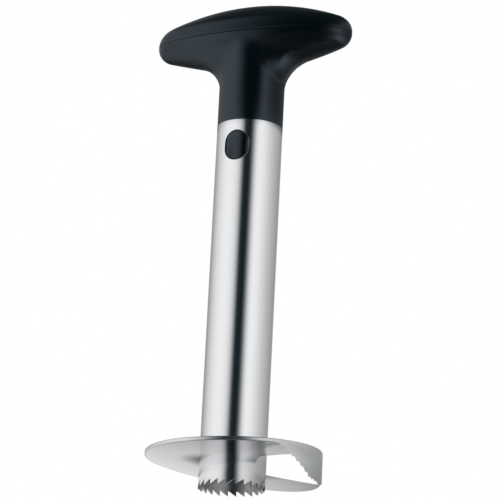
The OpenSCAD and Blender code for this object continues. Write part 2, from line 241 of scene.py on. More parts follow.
def moulded_plastic(name, colour, rough_low, rough_high, grain):
    finish, tree, shader = new_finish(name, colour, 0, rough_low)
    link = tree.links.new
    shader.inputs["Specular IOR Level"].default_value = 0.75
    shader.inputs["Specular Tint"].default_value = (0.68, 0.83, 1.0, 1)
    place = add(tree, "TexCoord").outputs["Object"]
    fine = add(tree, "TexNoise", {"Scale": grain, "Detail": 2})
    broad = add(tree, "TexNoise", {"Scale": 90, "Detail": 4})
    blend = add(tree, "Mix", {"Factor": 0.35}, data_type="FLOAT")
    for noise, socket in ((fine, blend.inputs["A"]), (broad, blend.inputs["B"])):
        link(place, noise.inputs["Vector"])
        link(noise.outputs["Fac"], socket)
    drive(tree, shader, blend.outputs["Result"], rough_low, rough_high, grain_depth, 0.06)
    return finish


black = (0.0004, 0.0026, 0.0034)
handle_plastic = moulded_plastic("satin_black_plastic", black, 0.15, 0.26, 3000)
button_plastic = moulded_plastic("button_plastic", black, 0.15, 0.24, 3600)
inner_plastic = moulded_plastic("plug_plastic", (0.018, 0.019, 0.021), 0.4, 0.58, 2400)
print("made", handle_plastic.name, button_plastic.name, inner_plastic.name)

# %% [markdown]
# ## From bmesh to piece
# Each skin is built in a bmesh and then becomes an object that stays at the origin, with its place
# in its mesh. Shading is smooth, except across edges that turn by more than a set angle. The piece
# rides on its body, stands for its solid, which is hidden, and takes the finish it is given.

# %% Helpers that make objects
def as_object(bm, name):
    """Turn a bmesh into an object in the scene."""
    mesh = bpy.data.meshes.new(name)
    bm.to_mesh(mesh)
    bm.free()
    made = bpy.data.objects.new(name, mesh)
    scene.collection.objects.link(made)
    return made


def hand_over(bm, name, body, node, finish, crease=30):
    """Clean a skin, make it an object and hand it over to the frame."""
    bmesh.ops.remove_doubles(bm, verts=bm.verts, dist=1e-7)
    bmesh.ops.recalc_face_normals(bm, faces=bm.faces)
    for face in bm.faces:
        face.smooth = True
    for edge in bm.edges:
        edge.smooth = edge.calc_face_angle(0) < radians(crease)
    open_edges = sum(not edge.is_manifold for edge in bm.edges)
    piece = as_object(bm, name)
    piece.data.materials.append(finish)
    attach(piece, body)
    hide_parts(node)
    print(name, len(piece.data.polygons), "faces,", open_edges, "open edges")
    return piece


def turn_round(bm, verts, angle, axis):
    """Rotate vertices about an axis through the origin."""
    bmesh.ops.rotate(bm, verts=verts, cent=(0, 0, 0), matrix=Matrix.Rotation(angle, 3, axis))


print("the frame holds", len(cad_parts), "solids to dress")

# %% [markdown]
# ## The core tube
# On the bench this is a drawn tube whose end is cut into saw teeth. It could be a cylinder with
# two dozen cuts, but the cuts would leave long thin faces. Here a circle is extruded down in a few
# rings, and the last ring is lifted into teeth: each rises slowly and drops at once at the next tip.

# %% Draw the tube and lift its teeth
tube_r, tube_wall, tube_top = 16 * MM, 1 * MM, 180 * MM
teeth, steps, tooth_depth = 24, 12, 2.6 * MM
steep_share = 0.02  # share of a tooth that its steep side takes


def newest(result, kind):
    """The vertices, or the edges on the open rim, that an extrusion returned."""
    found = [item for item in result["geom"] if isinstance(item, kind)]
    return [item for item in found if kind is bmesh.types.BMVert or item.is_boundary]


tube = bmesh.new()
bmesh.ops.create_circle(tube, segments=teeth * steps, radius=tube_r)
bmesh.ops.translate(tube, verts=tube.verts, vec=(0, 0, tube_top))
rim = tube.edges[:]
height = tube_top
for ring_z in (176 * MM, 158 * MM, 60 * MM, 4 * MM, 0):
    drawn = bmesh.ops.extrude_edge_only(tube, edges=rim)
    rim = newest(drawn, bmesh.types.BMEdge)
    last_ring = newest(drawn, bmesh.types.BMVert)
    bmesh.ops.translate(tube, verts=last_ring, vec=(0, 0, ring_z - height))
    height = ring_z

tooth_angle = 2 * pi / teeth
for vert in last_ring:
    along = (atan2(vert.co.y, vert.co.x) / tooth_angle) % 1
    step = round(along * steps) % steps
    vert.co.z = tooth_depth * step / (steps - 1)
    if step == steps - 1:
        turn_round(tube, [vert], tooth_angle * (1 / steps - steep_share), "Z")

bmesh.ops.recalc_face_normals(tube, faces=tube.faces)
bmesh.ops.solidify(tube, geom=tube.faces[:], thickness=tube_wall)
print("tube reaches", round(max(hypot(v.co.x, v.co.y) for v in tube.verts) / MM, 3), "mm from its axis")

# %% [markdown]
# ## The button holes
# Two oval holes face each other near the top of the tube. An oval with straight sides is a circle
# whose upper half is moved up and lower half down. It is extruded right through the tube and cut
# away with a Boolean modifier, whose result is kept as a plain mesh.

# %% Cut the holes
button_z, button_w, button_h, button_gap = 167 * MM, 11.6 * MM, 14.2 * MM, 0.5 * MM


def upright_oval(bm, width, height, y):
    """An oval loop in the XZ plane at depth y, as its vertices and edges."""
    loop = bmesh.ops.create_circle(bm, segments=64, radius=width / 2)["verts"]
    turn_round(bm, loop, pi / 2, "X")
    for vert in loop:
        vert.co.z += (height - width) / 2 * (1 if vert.co.z > 0 else -1)
    bmesh.ops.translate(bm, verts=loop, vec=(0, y, button_z))
    return loop, [edge for edge in bm.edges if edge.verts[0] in loop and edge.verts[1] in loop]


punch = bmesh.new()
hole_w, hole_h = button_w + 2 * button_gap, button_h + 2 * button_gap
loop, loop_edges = upright_oval(punch, hole_w, hole_h, -1.5 * tube_r)
bmesh.ops.contextual_create(punch, geom=loop_edges)
through = bmesh.ops.extrude_face_region(punch, geom=punch.faces[:], use_keep_orig=True)
bmesh.ops.translate(punch, verts=newest(through, bmesh.types.BMVert), vec=(0, 3 * tube_r, 0))
bmesh.ops.recalc_face_normals(punch, faces=punch.faces)

blank, oval = as_object(tube, "tube_blank"), as_object(punch, "hole_punch")
cut = blank.modifiers.new("holes", "BOOLEAN")
cut.operation, cut.solver, cut.object = "DIFFERENCE", "EXACT", oval
pierced = bmesh.new()
pierced.from_object(blank, bpy.context.evaluated_depsgraph_get())
for scrap in (blank, oval):
    bpy.data.objects.remove(scrap)
print("holes cut,", len(pierced.faces), "faces")

# %% [markdown]
# ## The edges of the holes and the bore
# A punched hole has a burr that is polished off, so its outer edge is a little soft. A bevel of a tenth
# of a millimetre is enough to catch the light. The bore was reamed, so it gets a rougher steel of its own,
# and that steel's colour is made lighter than the outside's as painted light, so that the dim bore looks lit.

# %% Soften the holes and hand the tube over
holes_low, holes_high = 150 * MM, 178 * MM


def outside_by_the_holes(vert):
    return holes_low < vert.co.z < holes_high and hypot(vert.co.x, vert.co.y) > tube_r - 0.01 * MM


def soften(bm, edges, offset, segments):
    """Round off some edges."""
    bmesh.ops.bevel(bm, geom=edges, offset=offset, segments=segments, profile=0.5,
                    affect="EDGES", material=-1)


hole_edges = [edge for edge in pierced.edges
              if edge.calc_face_angle(0) > radians(40) and all(map(outside_by_the_holes, edge.verts))]
soften(pierced, hole_edges, 0.1 * MM, 2)
core_tube = hand_over(pierced, "tube_skin", "cutter", "core_tube", tube_steel, crease=20)
core_tube.data.materials.append(lightened_bore_steel)
for face in core_tube.data.polygons:
    if hypot(face.center.x, face.center.y) < tube_r - 0.9 * tube_wall:
        face.material_index = 1
print(len(hole_edges), "hole edges softened")

# %% [markdown]
# ## The slicing blade
# The blade is a disc that is slit along a radius and pressed so that one lip of the slit drops: that
# lip is the cutting edge. A screw modifier would give an even spiral, but this one is level for half
# its turn. So a small section is spun flat round the axis, and then each vertex takes its height from
# how far round it is, in degrees from the leading edge.

# %% Describe how the disc is pressed
lead_turn, disc_end, rim_end = radians(26), 338, 358
lead_height, blade_rise, tail_rise = 4.9 * MM, 10 * MM, 2.6 * MM
lead_in, level_in, hub_share = 7.8 * MM, 14.4 * MM, 0.8
rise_start, rise_end, hub_rise_end, tail_start = 3, 150, 195, 240
peel_start, peel_slope, peel_flare = 296, 31, 0.5 * MM
sheet, disc_r, blade_r = 1 * MM, 41 * MM, 42 * MM


def ease(x, start, end):
    """Smooth step from 0 at start to 1 at end."""
    t = max(0, min(1, (x - start) / (end - start)))
    return t * t * (3 - 2 * t)


def rim_under(p):
    """Height of the blade's underside at the rim."""
    return lead_height + blade_rise * ease(p, rise_start, rise_end) + tail_rise * ease(p, tail_start, rim_end)


def hub_under(p):
    """Height of the blade's underside at the tube."""
    rise = (level_in - lead_in) * ease(p, rise_start, hub_rise_end)
    return lead_in + rise + tail_rise * hub_share * ease(p, tail_start, rim_end)


def flare(p):
    """How far the edge stands out beyond the plain lip."""
    return peel_flare * ease(p, peel_start, rim_end)


print("underside at the rim:", [round(rim_under(p) / MM, 1) for p in (0, 90, 180, disc_end)], "mm")

# %% [markdown]
# ## Spinning a strip
# The disc and its rim are both strips that go round the axis, one flat and one upright. One helper spins
# a small grid for both. The height of the grid runs from 0 to 1, so the real height can be set later.

# %% Spin the disc and press it
bevel_turn, edge_share = 8, 0.25


def spun_strip(inner, outer, across, upright, sweep, steps):
    """A rectangular section in the XZ plane, spun through part of a turn. Its height runs 0 to 1."""
    bm = bmesh.new()
    bmesh.ops.create_grid(bm, x_segments=across, y_segments=upright, size=0.5)
    bmesh.ops.translate(bm, verts=bm.verts, vec=(0.5, 0.5, 0))
    turn_round(bm, bm.verts, pi / 2, "X")
    bmesh.ops.scale(bm, verts=bm.verts, vec=(outer - inner, 1, 1))
    bmesh.ops.translate(bm, verts=bm.verts, vec=(inner, 0, 0))
    section = bm.verts[:] + bm.edges[:] + bm.faces[:]
    bmesh.ops.spin(bm, geom=section, cent=(0, 0, 0), axis=(0, 0, 1), angle=radians(sweep), steps=steps)
    return bm


def turn_of(vert):
    """How far a vertex is round the axis, in degrees from the leading edge."""
    turn = degrees(atan2(vert.co.y, vert.co.x)) % 360
    return 0 if turn > 359.9 else turn


disc = spun_strip(tube_r, disc_r, 10, 1, disc_end, disc_end)
for vert in disc.verts:
    p, r = turn_of(vert), hypot(vert.co.x, vert.co.y)
    share = (r - tube_r) / (disc_r - tube_r)
    vert.co.xy *= 1 + share * flare(p) / r
    thick = sheet * (edge_share + (1 - edge_share) * min(1, p / bevel_turn))
    vert.co.z = hub_under(p) + (rim_under(p) - hub_under(p)) * share + thick * vert.co.z
turn_round(disc, disc.verts, lead_turn, "Z")
hand_over(disc, "blade_skin", "cutter", "slicing_blade", blade_steel)

# %% [markdown]
# ## The peeling rim
# A strip runs round the disc. For most of the turn it is a low lip, and over the mouth it widens into
# a wall with a scalloped cutting edge. It is spun like the disc, with steps short enough for the
# scallops, and then each vertex is placed between the strip's lower and upper edge. It is left out of
# reflections, so that the tube behind it keeps its clean stripes.

# %% Spin the rim and cut its scallops
lip_height, lip_round, saw_edge = 1.85 * MM, 0.4 * MM, 0.25 * MM
peel_low, corner_lift, corner_start = 2.9 * MM, 1.8 * MM, 344
scallop_pitch, scallop_depth = 3.1 * MM, 1.2 * MM
first_bites, thinning = 4, 8  # degrees in which the scallops reach full depth and the edge thins


def rim_low(p):
    """Lower edge of the strip: the lip, the sloping saw edge, the low edge and its rounded corner."""
    if p <= peel_start:
        return rim_under(p)
    line = rim_under(p) + (peel_low - rim_under(p)) * min(1, (p - peel_start) / peel_slope)
    line += corner_lift * ease(p, corner_start, rim_end)
    bite = scallop_depth * abs(sin(pi * radians(p - peel_start) * blade_r / scallop_pitch))
    bite *= min(1, (p - peel_start) / first_bites) * (1 - ease(p, peel_start + peel_slope, corner_start))
    return min(rim_under(p), line + bite)


rim_band = spun_strip(disc_r, blade_r, 1, 4, rim_end, 4 * rim_end)
rolled = set()
for vert in rim_band.verts:
    p, r = turn_of(vert), hypot(vert.co.x, vert.co.y)
    outer, at_top, at_foot = r > blade_r - 0.1 * MM, vert.co.z > 0.99, vert.co.z < 0.01
    if outer and (at_top or at_foot and p < peel_start - 1):
        rolled.add(vert)
    if not outer and at_foot:
        vert.co.xy *= 1 + (sheet - saw_edge) * ease(p, peel_start, peel_start + thinning) / r
    vert.co.xy *= 1 + flare(p) / r
    low, high = rim_low(p), rim_under(p) + lip_height
    vert.co.z = low + (high - low) * vert.co.z
soften(rim_band, [edge for edge in rim_band.edges if rolled.issuperset(edge.verts)], lip_round, 4)
turn_round(rim_band, rim_band.verts, lead_turn, "Z")
rim_blade = hand_over(rim_band, "rim_skin", "cutter", "rim_blade", rim_steel)
rim_blade.visible_glossy = False

# %% [markdown]
# ## The form of the handle
# The T handle is moulded in two halves that meet on a level seam. Seen from above that seam is a slender
# oval. Below it the arms are shaped like the hull of a boat. A few functions describe that hull, so that
# any point of it can be worked out.

# %% Describe the hull of the handle
part_z, bar_a, bar_b, chamfer = 226 * MM, 51.3 * MM, 16.5 * MM, 0.4 * MM
arm_slope, arm_end_r, plan = radians(13.5), 7.7 * MM, 2.1
seam_z = part_z - chamfer
slope_out = bar_a - arm_end_r * (1 - sin(arm_slope))


def reach(f, a=bar_a, b=bar_b):
    """From the axis to an oval like the seam, in direction f."""
    return (abs(cos(f) / a) ** plan + abs(sin(f) / b) ** plan) ** (-1 / plan)


def half_width(x):
    """Half the width of the seam's oval at x along the bar."""
    return max(1e-9, bar_b * (1 - min(1, abs(x) / bar_a) ** plan) ** (1 / plan))


def depth(x):
    """Depth of the hull under the seam, along its middle line."""
    if abs(x) < slope_out:
        return arm_end_r * cos(arm_slope) + (slope_out - abs(x)) * tan(arm_slope)
    return sqrt(max(0, arm_end_r ** 2 - (abs(x) - bar_a + arm_end_r) ** 2))


def under(f, r):
    """Height of the hull in direction f, at the distance r from the axis."""
    x, y = r * cos(f), r * sin(f)
    return seam_z - depth(x) * sqrt(max(0, 1 - (y / half_width(x)) ** 2))


print("seam", round(2 * bar_a / MM, 1), "by", round(2 * bar_b / MM, 1), "mm")

# %% [markdown]
# ## From the neck to the arms
# The round neck grows out of the hull with a fillet that is wide under the arms and tight in front. A
# bevel would have one width all round. A curve with four control points can change with the direction:
# it leaves the neck upright and meets the hull along the hull's own slope.

# %% Describe the fillet of the neck
side_run, front_run, fillet_share, fillet_pull = 13 * MM, 4 * MM, 0.6, 0.58
probe = 0.05 * MM


def slope(f, r):
    """Slope of the hull in direction f, as an angle."""
    return atan2(under(f, r + probe) - under(f, r - probe), 2 * probe)


def fillet_end(f):
    """How far the fillet runs along the neck, and where it meets the hull."""
    run = front_run + (side_run - front_run) * cos(f) ** 2
    return run, tube_r + min(run * cos(slope(f, tube_r)), fillet_share * (reach(f) - tube_r))


def fillet(f, t):
    """Distance from the axis and height at share t of the fillet."""
    run, end = fillet_end(f)
    low, lean = under(f, tube_r) - run, slope(f, end)
    pull = fillet_pull * hypot(end - tube_r, under(f, end) - under(f, tube_r))
    radii = (tube_r, tube_r, end - pull * cos(lean), end)
    heights = (low, low + fillet_pull * run, under(f, end) - pull * sin(lean), under(f, end))
    parts = ((1 - t) ** 3, 3 * t * (1 - t) ** 2, 3 * t * t * (1 - t), t ** 3)
    return sum(p * r for p, r in zip(parts, radii)), sum(p * z for p, z in zip(parts, heights))


def hull(f, t):
    """Distance and height at share t of the way from the fillet to the seam."""
    start = asin(fillet_end(f)[1] / reach(f))
    r = reach(f) * sin(start + (pi / 2 - start) * t)
    return r, under(f, r) if t < 1 else seam_z


print("fillet ends", [round(fillet_end(f)[1] / MM, 1) for f in (0, pi / 2)], "mm from the axis")

# %% [markdown]
# ## The handle's lower shell
# A plain tube of rings is extruded first. Then every vertex is moved onto the handle: the ring says how
# far along the outline it is, and its angle says in which direction.

# %% Draw rings and move them onto the shell
wall, plug_bore, neck_depth, neck_soft, seat_drop = 2.2 * MM, 14.8 * MM, 15 * MM, 0.2 * MM, 2 * MM


def tube_of_rings(count, segments=192):
    """A capped tube of unit radius with a ring at each whole height."""
    bm = bmesh.new()
    bmesh.ops.create_circle(bm, cap_ends=True, segments=segments, radius=1)
    rim = [edge for edge in bm.edges if edge.is_boundary]
    for _ in range(count - 1):
        grown = bmesh.ops.extrude_edge_only(bm, edges=rim)
        rim = newest(grown, bmesh.types.BMEdge)
        bmesh.ops.translate(bm, verts=newest(grown, bmesh.types.BMVert), vec=(0, 0, 1))
    bmesh.ops.contextual_create(bm, geom=rim)
    return bm


def direction(turn, share):
    """Directions crowd towards the ends of the bar as share goes from 0 to 1."""
    return atan2(sin(turn) * (1 + share * (bar_b / bar_a - 1)), cos(turn))


def seam_point(turn, a, b, z):
    """A point of an oval of the seam's kind."""
    f = direction(turn, 1)
    r = reach(f, a, b)
    return r * cos(f), r * sin(f), z


bore = [(plug_bore, tube_top + neck_depth), (plug_bore, tube_top), (tube_r - neck_soft, tube_top),
        (tube_r, tube_top + neck_soft)]
seat = [(chamfer, part_z), (wall, part_z), (wall, part_z - seat_drop)]
bend, curve = 24, 48


def shell_point(ring, turn):
    """Where a vertex of the plain tube goes: the bore, the fillet, the hull or the seat of the cap."""
    if ring < len(bore):
        r, z = bore[ring]
        return r * cos(turn), r * sin(turn), z
    ring -= len(bore)
    if ring > bend + curve:
        inset, z = seat[ring - bend - curve - 1]
        return seam_point(turn, bar_a - inset, bar_b - inset, z)
    f = direction(turn, ring / (bend + curve))
    r, z = fillet(f, ring / bend) if ring <= bend else hull(f, (ring - bend) / curve)
    return r * cos(f), r * sin(f), z


shell = tube_of_rings(len(bore) + bend + curve + 1 + len(seat))
for vert in shell.verts:
    vert.co = shell_point(round(vert.co.z), atan2(vert.co.y, vert.co.x))
hand_over(shell, "shell_skin", "handle", "handle_shell", handle_plastic)

# %% [markdown]
# ## The handle's cap
# The cap is a low arch along the bar that rolls over at its ends. The same tube of rings makes it,
# from the hidden underside out to the parting line and then up to the crown.

# %% Move rings onto the cap
cap_end_r, cap_slope, crown_power = 8.5 * MM, radians(22), 0.9
roll_rings, arch_rings, last_step = 24, 32, 0.4
arch_a = bar_a - cap_end_r * (1 - sin(cap_slope))
arch_z = part_z + cap_end_r * cos(cap_slope)
arch_r = arch_a / sin(cap_slope)
cap_top = arch_z + arch_r * (1 - cos(cap_slope))

crown_line = []
for i in range(1, roll_rings + 1):
    f = (pi / 2 - cap_slope) * i / roll_rings
    crown_line.append((bar_a - cap_end_r * (1 - cos(f)), part_z + cap_end_r * sin(f)))
for i in reversed(range(arch_rings)):
    f = cap_slope * (i + last_step) / arch_rings
    crown_line.append((arch_r * sin(f), cap_top - arch_r * (1 - cos(f))))

under_cap = [(bar_a - wall, bar_b - wall, part_z + seat_drop), (bar_a - wall, bar_b - wall, part_z)]
seam = [(bar_a - chamfer, bar_b - chamfer, part_z), (bar_a, bar_b, part_z + chamfer)]
crown = [(a, bar_b * (a / bar_a) ** crown_power, z) for a, z in crown_line]
cap_rings = under_cap + seam + crown
cap = tube_of_rings(len(cap_rings))
for vert in cap.verts:
    vert.co = seam_point(atan2(vert.co.y, vert.co.x), *cap_rings[round(vert.co.z)])
hand_over(cap, "cap_skin", "handle", "handle_cap", handle_plastic)

# %% [markdown]
# ## The release latches
# Each latch is one moulding: a round bead that it swings on, a flat tongue, and an oval head that fills
# the hole in the tube. The head's face is rounded more than the tube. It is made from the same oval as
# the hole: two thin insets round off its edge, and upright cuts divide it into strips that bend onto
# that curve.

# %% Press the head of a latch
pivot_y, pivot_z, bead_r, tongue = 11.6 * MM, 138.5 * MM, 1.6 * MM, 1.8 * MM
face_r, tight, strip, cuts = 12 * MM, 0.25 * MM, 0.5 * MM, 11
edge_ring, edge_drop = 0.2 * MM, 0.25 * MM


def press_head(bm):
    """An oval head that faces -Y, with its face rounded across."""
    loop, loop_edges = upright_oval(bm, button_w + 2 * tight, button_h + 2 * tight, -pivot_y)
    bmesh.ops.contextual_create(bm, geom=loop_edges)
    raised = bmesh.ops.extrude_face_region(bm, geom=bm.faces[:], use_keep_orig=True)
    face = [item for item in raised["geom"] if isinstance(item, bmesh.types.BMFace)]
    front_edge = newest(raised, bmesh.types.BMVert)
    bmesh.ops.translate(bm, verts=front_edge, vec=(0, pivot_y - tube_r, 0))
    for _ in range(2):
        bmesh.ops.inset_region(bm, faces=face, thickness=edge_ring)
    strips = face[0].verts[:] + face[0].edges[:] + face
    for i in range(-cuts, cuts):
        line = ((i + 0.5) * strip, 0, 0)
        strips = bmesh.ops.bisect_plane(bm, geom=strips, dist=1e-6, plane_co=line, plane_no=(1, 0, 0))["geom"]
    behind_face = -pivot_y - 0.5 * MM
    for vert in bm.verts:
        if vert.co.y < behind_face:
            vert.co.y = face_r - tube_r - sqrt(face_r ** 2 - vert.co.x ** 2)
    for vert in front_edge:
        vert.co.y += edge_drop


print("the face of a head is cut into", 2 * cuts + 1, "strips")

# %% [markdown]
# ## The tongues behind the heads
# The bead snaps into the plug and the tongue bends, so that the head springs back. On screen a cylinder
# and a box with soft edges are enough. The rear latch is the front one, turned half round.

# %% Add the bead and the tongue, and mould both latches
tongue_top = button_z + button_h / 2 + 1.4 * MM


def mould_latch():
    bm = bmesh.new()
    press_head(bm)
    bead = bmesh.ops.create_cone(bm, cap_ends=True, segments=48, radius1=bead_r, radius2=bead_r,
                                 depth=button_w)["verts"]
    turn_round(bm, bead, pi / 2, "Y")
    bmesh.ops.translate(bm, verts=bead, vec=(0, -pivot_y, pivot_z))
    box = bmesh.ops.create_cube(bm, size=1)["verts"]
    bmesh.ops.scale(bm, verts=box, vec=(button_w, tongue, tongue_top - pivot_z))
    bmesh.ops.translate(bm, verts=box, vec=(0, -pivot_y, (tongue_top + pivot_z) / 2))
    soften(bm, [edge for edge in bm.edges if edge.verts[0] in box], 0.2 * MM, 3)
    return bm


for side, turn in (("front", 0), ("rear", pi)):
    latch = mould_latch()
    turn_round(latch, latch.verts, turn, "Z")
    hand_over(latch, side + "_latch_skin", side + "_button", side + "_latch", button_plastic)

# %% [markdown]
# ## The plug and its screws
# The plug and the two screws are turned and drilled shapes that the solids already show well. They
# keep their meshes and only get a finish.

# %% Dress the plug and the screws
for node, finish in (("latch_plug", inner_plastic), ("plug_screws", screw_steel)):
    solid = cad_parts[node]
    for socket in solid.material_slots:
        socket.material = finish
    print(node, "wears", finish.name)

# %% [markdown]
# ## Paint that knows its direction
# Polished metal and black plastic show what stands round them, so their look is made by the
# surroundings. Lamps with sharp edges could do it, but soft paper walls are easier to steer. Each wall
# here is a surface that only reflections see. A radial gradient acts as a compass, which reads 0.5
# towards the camera and more to its right, and a ramp turns the compass into brightness.

# %% Helpers for painted walls
paper_tint = (0.002, 0.011, 0.016)


def bare_paint(name):
    """A paint with no nodes yet, and its node tree."""
    paint = bpy.data.materials.new(name)
    paint.use_nodes = True
    paint.node_tree.nodes.clear()
    return paint, paint.node_tree


def wall_paint(name):
    """A paint, its node tree, and the place on the wall and the compass as outputs."""
    paint, tree = bare_paint(name)
    place = add(tree, "TexCoord").outputs["Object"]
    turned = add(tree, "Mapping", {"Rotation": (0, 0, pi / 2 - camera_turn)})
    compass = add(tree, "TexGradient", gradient_type="RADIAL")
    tree.links.new(place, turned.inputs["Vector"])
    tree.links.new(turned.outputs["Vector"], compass.inputs["Vector"])
    return paint, tree, place, compass.outputs["Fac"]


def wall_ramp(tree, compass, stops):
    """A ramp of brightness by bearing, in degrees from the camera to its right."""
    ramp = add(tree, "ValToRGB")
    marks = ramp.color_ramp.elements
    for i, (bearing, level) in enumerate(stops):
        position = 0.5 + bearing / 360
        mark = marks[i] if i < 2 else marks.new(position)
        mark.position = position
        mark.color = (*(level + tint for tint in paper_tint), 1)
    tree.links.new(compass, ramp.inputs["Fac"])
    return ramp.outputs["Color"]


def for_reflections(wall, paint):
    """Hang a painted wall so that only reflections see it."""
    wall.data.materials.append(paint)
    wall.visible_camera = wall.visible_diffuse = wall.visible_shadow = wall.visible_transmission = False


print("compass turned by", round(degrees(camera_turn)), "degrees to face the camera")

# %% [markdown]
# ## The light tent
# A bright wall to the left, a dark slot where the photographer stands and a fading wall to the right
# give the tube its grey sides and its black stripe. One large sphere holds them all. Six ramps run
# round it at different heights. Each list gives the brightness by bearing.

# %% Choose the walls of the tent
ground_wall = [(-180, 0.1), (-90, 0.3), (-40, 0.05), (10, 0.03), (40, 0.15), (70, 0.3), (110, 0.14), (180, 0.1)]
low_wall = [(-180, 0.08), (-155, 0.24), (-135, 0.48), (-115, 0.7), (-100, 0.8), (-85, 0.86), (-65, 0.84),
            (-53, 0.4), (-44, 0.16), (-26, 0.03), (0, 0.01), (8, 0.08), (15, 0.3), (25, 0.8), (45, 1.0),
            (65, 0.97), (85, 0.7), (105, 0.4), (125, 0.24), (145, 0.08), (180, 0.08)]
middle_wall = [(-180, 0.06), (-160, 0.08), (-145, 0.17), (-130, 0.4), (-110, 0.56), (-95, 0.68), (-85, 0.78),
               (-75, 0.85), (-65, 0.91), (-57, 0.8), (-49, 0.14), (-36, 0.12), (-26, 0.04), (4, 0.02),
               (13, 0.14), (23, 0.5), (34, 0.62), (45, 0.5), (58, 0.32), (78, 0.23), (110, 0.24), (145, 0.34),
               (165, 0.14), (180, 0.06)]
level_wall = [(-180, 0.6), (-166, 0.46), (-153, 0.36), (-145, 0.4), (-125, 0.65), (-105, 0.86), (-85, 1.02),
              (-65, 1.07), (-52, 1.04), (-42, 0.95), (-34, 0.82), (-28, 0.62), (-22, 0.3), (-15, 0.01),
              (3, 0.0), (9, 0.07), (16, 0.36), (24, 0.8), (32, 1.03), (42, 1.08), (55, 1.0), (70, 0.85),
              (90, 0.66), (115, 0.5), (140, 0.38), (150, 0.34), (163, 0.46), (180, 0.6)]
high_wall = [(-180, 0.1), (-155, 0.36), (-130, 0.4), (-105, 0.52), (-85, 0.63), (-68, 0.7), (-56, 0.46),
             (-44, 0.1), (-34, 0.01), (5, 0.02), (28, 0.06), (42, 0.22), (56, 0.5), (80, 0.56), (110, 0.42),
             (140, 0.3), (165, 0.16), (180, 0.1)]
sky_wall = [(-180, 0.05), (180, 0.05)]
print("the level wall has", len(level_wall), "marks")

# %% [markdown]
# ## Hanging the tent
# The walls are blended from the ground up. Each blend runs between two elevations, and the sine of an
# elevation is the height of a point on a sphere of radius 1.

# %% Build the tent
def blend_up(tree, rise, lower, upper, start, end):
    """Blend two paints between two elevations in degrees."""
    limits = {"From Min": sin(radians(start)), "From Max": sin(radians(end))}
    share = add(tree, "MapRange", limits, interpolation_type="SMOOTHSTEP")
    mix = add(tree, "Mix", data_type="RGBA")
    tree.links.new(rise, share.inputs["Value"])
    tree.links.new(share.outputs["Result"], mix.inputs["Factor"])
    tree.links.new(lower, mix.inputs[COLOUR_A])
    tree.links.new(upper, mix.inputs[COLOUR_B])
    return mix.outputs[COLOUR_OUT]


tent_mesh = bmesh.new()
bmesh.ops.create_uvsphere(tent_mesh, u_segments=64, v_segments=32, radius=2.5)
tent = as_object(tent_mesh, "tent")
tent_paint, tree, place, compass = wall_paint("tent_paint")
unit = add(tree, "VectorMath", operation="NORMALIZE")
split = add(tree, "SeparateXYZ")
tree.links.new(place, unit.inputs[0])
tree.links.new(unit.outputs["Vector"], split.inputs["Vector"])
walls = wall_ramp(tree, compass, ground_wall)
for stops, start, end in ((low_wall, -70, -52), (middle_wall, -38, -12), (level_wall, 2, 9),
                          (high_wall, 23.5, 26.5), (sky_wall, 40, 68)):
    walls = blend_up(tree, split.outputs["Z"], walls, wall_ramp(tree, compass, stops), start, end)
glow = add(tree, "Emission")
out = add(tree, "OutputMaterial")
tree.links.new(walls, glow.inputs["Color"])
tree.links.new(glow.outputs["Emission"], out.inputs["Surface"])
for_reflections(tent, tent_paint)
print("tent painted in six bands")

# %% [markdown]
# ## Paper screens
# A screen is a band of paper round the axis that shines on one side only. From its back it is clear, so
# a view from another side isn't blocked. A cone without its caps makes every band that is needed here.

# %% Helpers for screens
def one_sided(tree, surface):
    """Show a surface from its front and nothing from its back."""
    back = add(tree, "NewGeometry").outputs["Backfacing"]
    clear = add(tree, "BsdfTransparent")
    side = add(tree, "MixShader")
    out = add(tree, "OutputMaterial")
    tree.links.new(back, side.inputs["Fac"])
    tree.links.new(surface, side.inputs[1])
    tree.links.new(clear.outputs["BSDF"], side.inputs[2])
    tree.links.new(side.outputs["Shader"], out.inputs["Surface"])


def screen(name, low_r, low_z, high_r, high_z, stops, foot):
    """A band of paper round the axis. Its brightness fades to a share of foot at its lower edge."""
    bm = bmesh.new()
    bmesh.ops.create_cone(bm, cap_ends=False, segments=128, radius1=low_r, radius2=high_r,
                          depth=high_z - low_z)
    bmesh.ops.translate(bm, verts=bm.verts, vec=(0, 0, (low_z + high_z) / 2))
    bm.normal_update()
    outward = [face for face in bm.faces if face.normal.xy.dot(face.calc_center_median().xy) > 0]
    bmesh.ops.reverse_faces(bm, faces=outward)
    paint, tree, place, compass = wall_paint(name + "_paint")
    split = add(tree, "SeparateXYZ")
    limits = {"From Min": low_z, "From Max": high_z, "To Min": foot, "To Max": 1}
    fade = add(tree, "MapRange", limits)
    glow = add(tree, "Emission")
    tree.links.new(place, split.inputs["Vector"])
    tree.links.new(split.outputs["Z"], fade.inputs["Value"])
    tree.links.new(fade.outputs["Result"], glow.inputs["Strength"])
    tree.links.new(wall_ramp(tree, compass, stops), glow.inputs["Color"])
    one_sided(tree, glow.outputs["Emission"])
    made = as_object(bm, name)
    for_reflections(made, paint)
    print(name, "has", len(outward), "faces turned inwards")
    return made

# %% [markdown]
# ## Three places with light of their own
# The blade's underside looks at what stands low and close, so a paper cone stands close round it. The
# cone's tip would be at the handle, which therefore sees only its edge. The tube's foot looks up and
# out, so a wide, almost flat skirt lies above it and shines down. The handle looks darker to the right
# than the tube does, so a collar of grey paper goes round it, just above the rays that the tube sends
# up. From above, the disc hides the cone, and the skirt shows its clear back.

